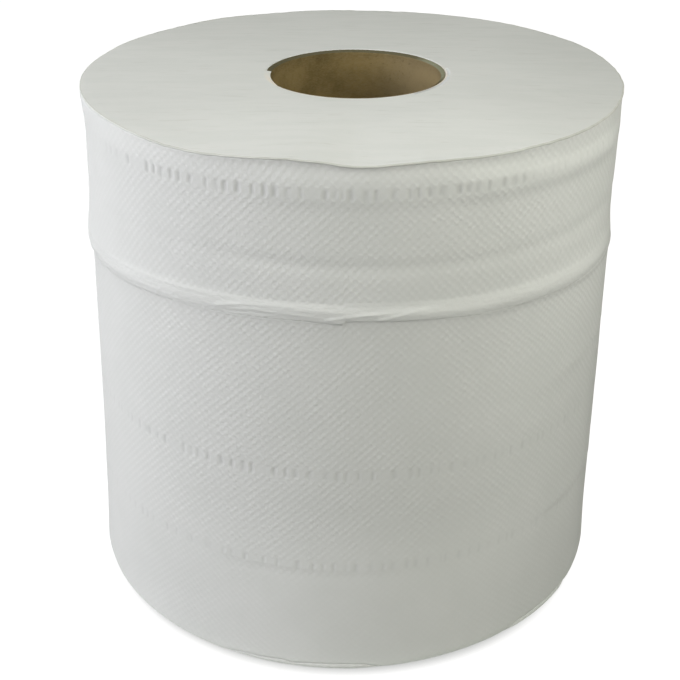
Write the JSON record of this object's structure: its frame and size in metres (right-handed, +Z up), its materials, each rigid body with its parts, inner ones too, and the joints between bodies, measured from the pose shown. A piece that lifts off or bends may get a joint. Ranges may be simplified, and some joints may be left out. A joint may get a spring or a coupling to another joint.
{
  "type": "paper towel roll",
  "caption": "Thick round roll of white embossed paper towel on a brown cardboard core, standing on its flat end.",
  "frame": {"origin": "centre of the lower end, on the core's axis and in the plane that the roll stands on", "axes": "+Z up along the core's axis; -Y is the front; +X is the viewer's right; the web's tail runs up the back, at +Y"},
  "size_m": [0.1818, 0.182, 0.177],
  "materials": {
    "paper": "soft white two-ply tissue, embossed all over with small staggered dots",
    "core_board": "plain brown recycled board, matte"
  },
  "bodies": {
    "root": {"paper_roll": "paper", "cardboard_core": "core_board"}
  },
  "joints": []
}
